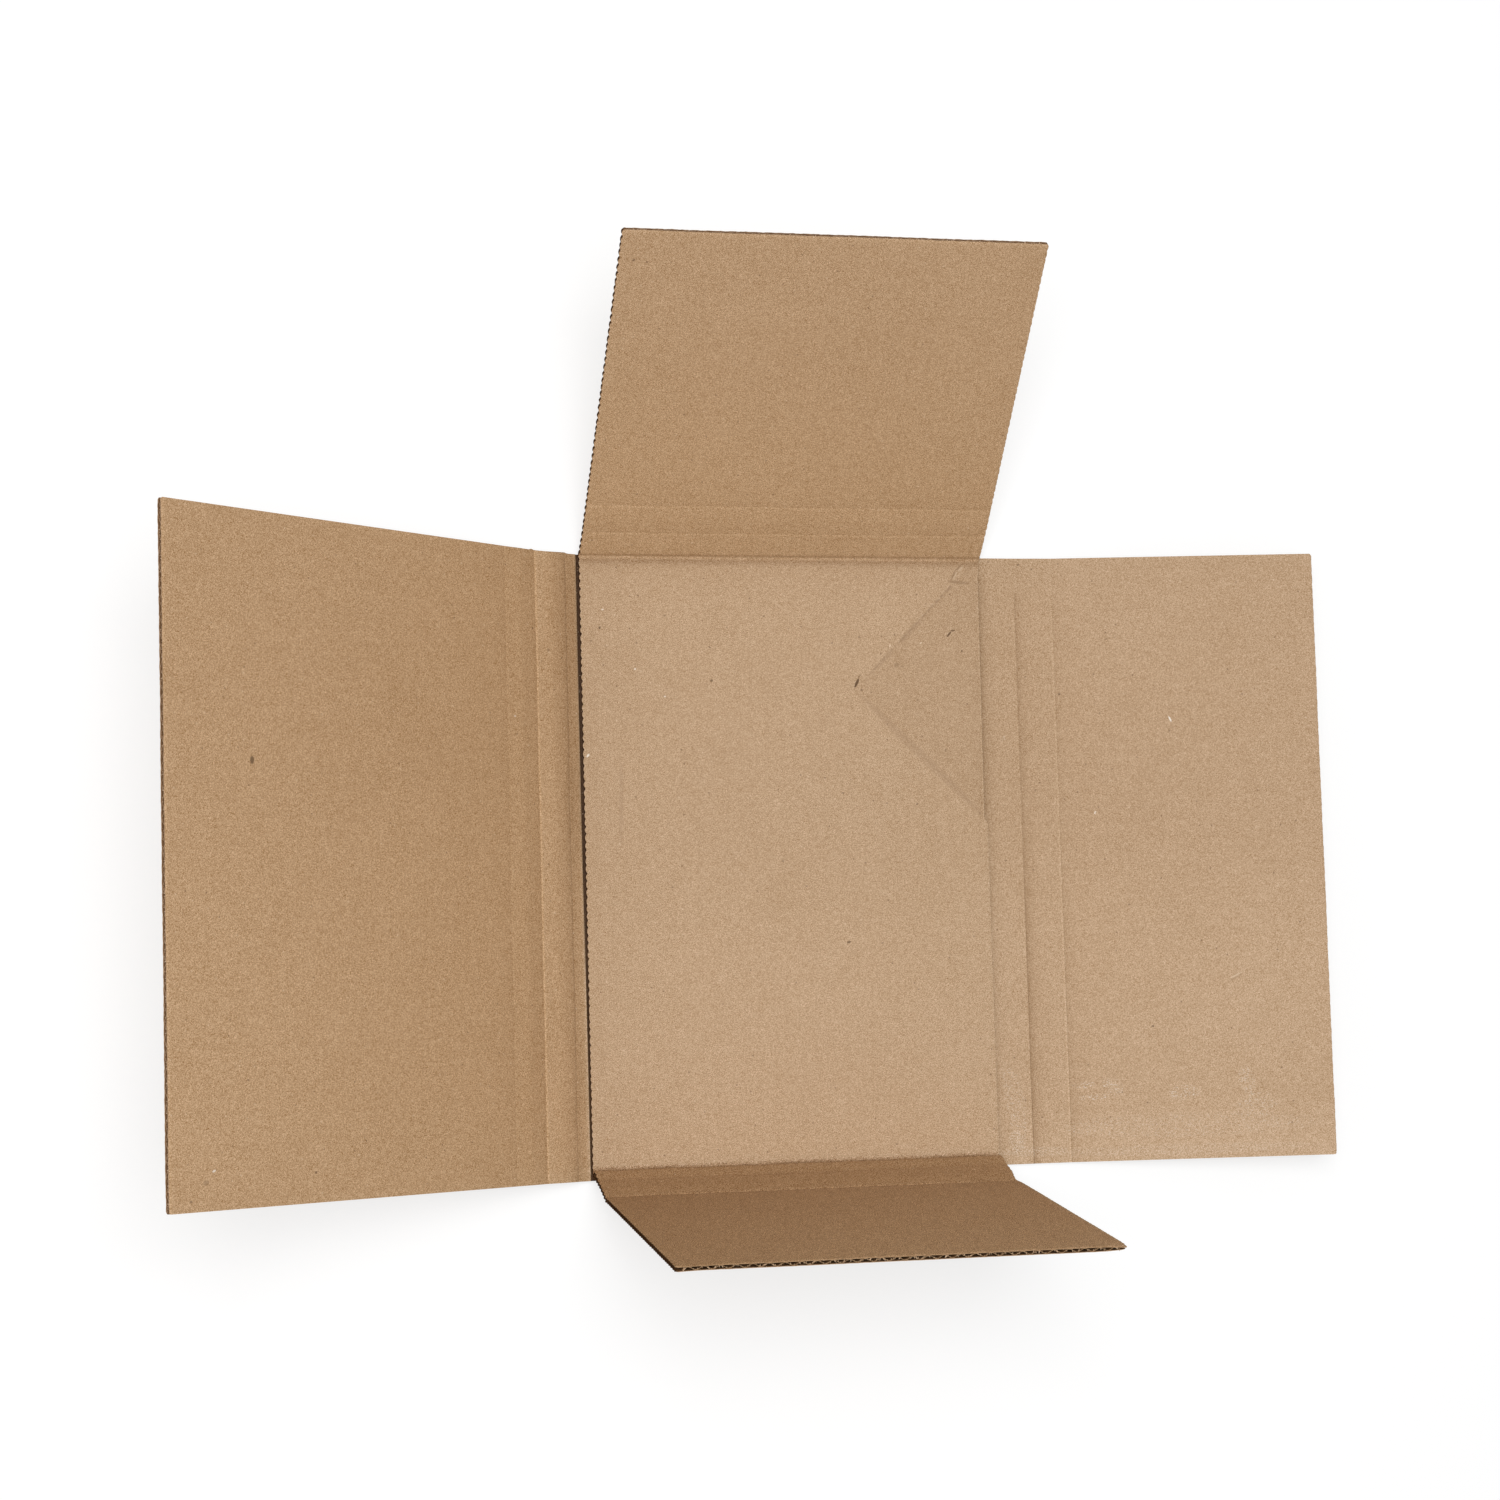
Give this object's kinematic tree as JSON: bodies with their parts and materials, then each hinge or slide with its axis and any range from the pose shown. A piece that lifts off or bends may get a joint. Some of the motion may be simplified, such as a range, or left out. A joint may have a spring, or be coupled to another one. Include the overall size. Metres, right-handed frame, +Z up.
{
  "type": "comic book mailer box",
  "caption": "Plain corrugated cross mailer for thin books, lying open on its back, with side walls and flaps that fold up and over the contents.",
  "frame": {"origin": "middle of the glued panel, on the underside of the back sheet", "axes": "+X towards the right flap, +Y towards the top flap, +Z up out of the inside of the box"},
  "size_m": [0.5644, 0.4494, 0.1734],
  "materials": {
    "kraft_board": "matte"
  },
  "bodies": {
    "middle": {"back_panel": "kraft_board", "front_panel": "kraft_board"},
    "left_wall": {"left_wall": "kraft_board"},
    "left_flap": {"left_flap": "kraft_board"},
    "right_wall": {"right_wall": "kraft_board"},
    "right_flap": {"right_flap": "kraft_board"},
    "top_wall": {"top_wall": "kraft_board"},
    "top_flap": {"top_flap": "kraft_board"},
    "bottom_wall": {"bottom_wall": "kraft_board"},
    "bottom_flap": {"bottom_flap": "kraft_board"}
  },
  "joints": [
    {"name": "left_wall_crease", "type": "hinge", "parent": "middle", "child": "left_wall", "pos_m": [-0.0999, -0.0014, 0.0026], "axis": [0, 1, 0], "range_deg": [-30.7, 53.2]},
    {"name": "left_flap_crease", "type": "hinge", "parent": "left_wall", "child": "left_flap", "pos_m": [-0.13747, -0.0014, 0.02726], "axis": [0, 1, 0], "range_deg": [0, 90]},
    {"name": "right_wall_crease", "type": "hinge", "parent": "middle", "child": "right_wall", "pos_m": [0.0996, -0.0014, 0.0026], "axis": [0, -1, 0], "range_deg": [0, 87]},
    {"name": "right_flap_crease", "type": "hinge", "parent": "right_wall", "child": "right_flap", "pos_m": [0.13527, -0.0014, 0.00362], "axis": [0, -1, 0], "range_deg": [-7.8, 82.2]},
    {"name": "top_wall_crease", "type": "hinge", "parent": "middle", "child": "top_wall", "pos_m": [0, 0.143, 0.0053], "axis": [1, 0, 0], "range_deg": [-41.9, 43.5]},
    {"name": "top_flap_crease", "type": "hinge", "parent": "top_wall", "child": "top_flap", "pos_m": [0, 0.16394, 0.02562], "axis": [1, 0, 0], "range_deg": [0, 94.6]},
    {"name": "bottom_wall_crease", "type": "hinge", "parent": "middle", "child": "bottom_wall", "pos_m": [0, -0.143, 0.0053], "axis": [-1, 0, 0], "range_deg": [-66.6, 16.9]},
    {"name": "bottom_flap_crease", "type": "hinge", "parent": "bottom_wall", "child": "bottom_flap", "pos_m": [0, -0.15308, 0.03265], "axis": [-1, 0, 0], "range_deg": [-14.5, 82]}
  ]
}
